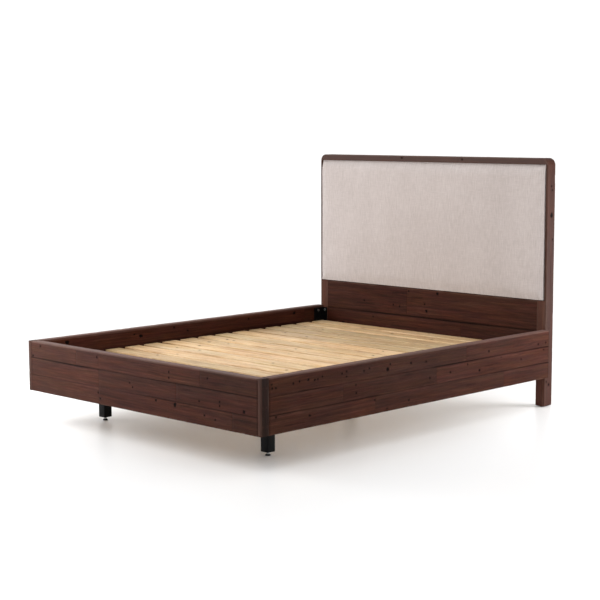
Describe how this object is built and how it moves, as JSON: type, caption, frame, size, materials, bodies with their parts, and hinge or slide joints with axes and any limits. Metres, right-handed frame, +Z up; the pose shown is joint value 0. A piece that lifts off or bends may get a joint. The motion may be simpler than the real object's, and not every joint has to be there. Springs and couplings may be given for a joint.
{
  "type": "bed frame",
  "caption": "Queen-size bed frame with plank rails, a padded linen headboard panel, a slatted deck and black metal legs on levelling feet.",
  "frame": {"origin": "on the floor, under the middle of the bed", "axes": "+Y towards the head, +X towards the side on the viewer's right in the picture, +Z up"},
  "size_m": [1.68, 2.176, 1.312],
  "materials": {
    "rail_wood": "satin waxed, reclaimed, nail-holed",
    "cap_wood": "satin waxed, darker",
    "headboard_wood": "satin waxed",
    "frame_pine": "planed, unfinished",
    "slat_pine": "planed, unfinished",
    "plywood": "sanded",
    "dowel_wood": "turned beech",
    "linen": "slubby plain weave",
    "foam": "open-cell foam",
    "screw_steel": "zinc plated",
    "nail_steel": "dark, oxidised",
    "plated_steel": "zinc plated",
    "black_steel": "black powder coat",
    "black_plastic": "moulded"
  },
  "bodies": {
    "frame": {"footboard_plank_top": "rail_wood", "footboard_plank_middle": "rail_wood", "footboard_plank_bottom": "rail_wood", "side_rail_left_top": "rail_wood", "side_rail_left_middle": "rail_wood", "side_rail_left_bottom": "rail_wood", "side_rail_right_top": "rail_wood", "side_rail_right_middle": "rail_wood", "side_rail_right_bottom": "rail_wood", "footboard_end_cap_left": "cap_wood", "footboard_end_cap_right": "cap_wood", "headboard_post_left": "headboard_wood", "headboard_post_right": "headboard_wood", "headboard_top_rail": "headboard_wood", "headboard_skirt_upper": "headboard_wood", "headboard_skirt_lower": "headboard_wood", "headboard_back_panel": "headboard_wood", "headboard_stiles": "frame_pine", "side_cleat_left": "frame_pine", "side_cleat_right": "frame_pine", "foot_cleat": "frame_pine", "head_cleat": "frame_pine", "centre_beam": "frame_pine", "cross_rail": "frame_pine", "slats": "slat_pine", "panel_board": "plywood", "footboard_dowels": "dowel_wood", "side_rail_dowels": "dowel_wood", "headboard_tenons": "dowel_wood", "panel_linen": "linen", "panel_foam": "foam", "back_panel_screws": "screw_steel", "panel_screws": "screw_steel", "cleat_screws": "screw_steel", "slat_screws": "screw_steel", "hanger_screws": "screw_steel", "leg_screws": "screw_steel", "end_cap_nails": "nail_steel", "beam_hangers": "plated_steel", "leg_nuts": "plated_steel", "bracket_bolts": "plated_steel", "corner_brackets": "black_steel", "post_brackets": "black_steel", "foot_leg_left": "black_steel", "foot_leg_right": "black_steel", "centre_leg_front": "black_steel", "centre_leg_rear": "black_steel", "leg_plugs": "black_plastic", "post_glides": "black_plastic"},
    "pad_foot_left": {"pad_foot_left": "black_plastic"},
    "stem_foot_left": {"stem_foot_left": "plated_steel"},
    "pad_foot_right": {"pad_foot_right": "black_plastic"},
    "stem_foot_right": {"stem_foot_right": "plated_steel"},
    "pad_centre_front": {"pad_centre_front": "black_plastic"},
    "stem_centre_front": {"stem_centre_front": "plated_steel"},
    "pad_centre_rear": {"pad_centre_rear": "black_plastic"},
    "stem_centre_rear": {"stem_centre_rear": "plated_steel"}
  },
  "joints": [
    {"name": "height_foot_left", "type": "slide", "parent": "frame", "child": "pad_foot_left", "axis": [0, 0, 1], "range_m": [-0.015, 0.006]},
    {"name": "turn_foot_left", "type": "hinge", "parent": "pad_foot_left", "child": "stem_foot_left", "pos_m": [-0.59, -0.804, 0], "axis": [0, 0, 1], "range_deg": [-3600, 1440]},
    {"name": "height_foot_right", "type": "slide", "parent": "frame", "child": "pad_foot_right", "axis": [0, 0, 1], "range_m": [-0.015, 0.006]},
    {"name": "turn_foot_right", "type": "hinge", "parent": "pad_foot_right", "child": "stem_foot_right", "pos_m": [0.59, -0.804, 0], "axis": [0, 0, 1], "range_deg": [-3600, 1440]},
    {"name": "height_centre_front", "type": "slide", "parent": "frame", "child": "pad_centre_front", "axis": [0, 0, 1], "range_m": [-0.015, 0.006]},
    {"name": "turn_centre_front", "type": "hinge", "parent": "pad_centre_front", "child": "stem_centre_front", "pos_m": [0, -0.268, 0], "axis": [0, 0, 1], "range_deg": [-3600, 1440]},
    {"name": "height_centre_rear", "type": "slide", "parent": "frame", "child": "pad_centre_rear", "axis": [0, 0, 1], "range_m": [-0.015, 0.006]},
    {"name": "turn_centre_rear", "type": "hinge", "parent": "pad_centre_rear", "child": "stem_centre_rear", "pos_m": [0, 0.392, 0], "axis": [0, 0, 1], "range_deg": [-3600, 1440]}
  ],
  "couplings": [
    {"joint": "turn_foot_left", "follows": "height_foot_left", "rad_per_m": 4188.8},
    {"joint": "turn_foot_right", "follows": "height_foot_right", "rad_per_m": 4188.8},
    {"joint": "turn_centre_front", "follows": "height_centre_front", "rad_per_m": 4188.8},
    {"joint": "turn_centre_rear", "follows": "height_centre_rear", "rad_per_m": 4188.8}
  ]
}
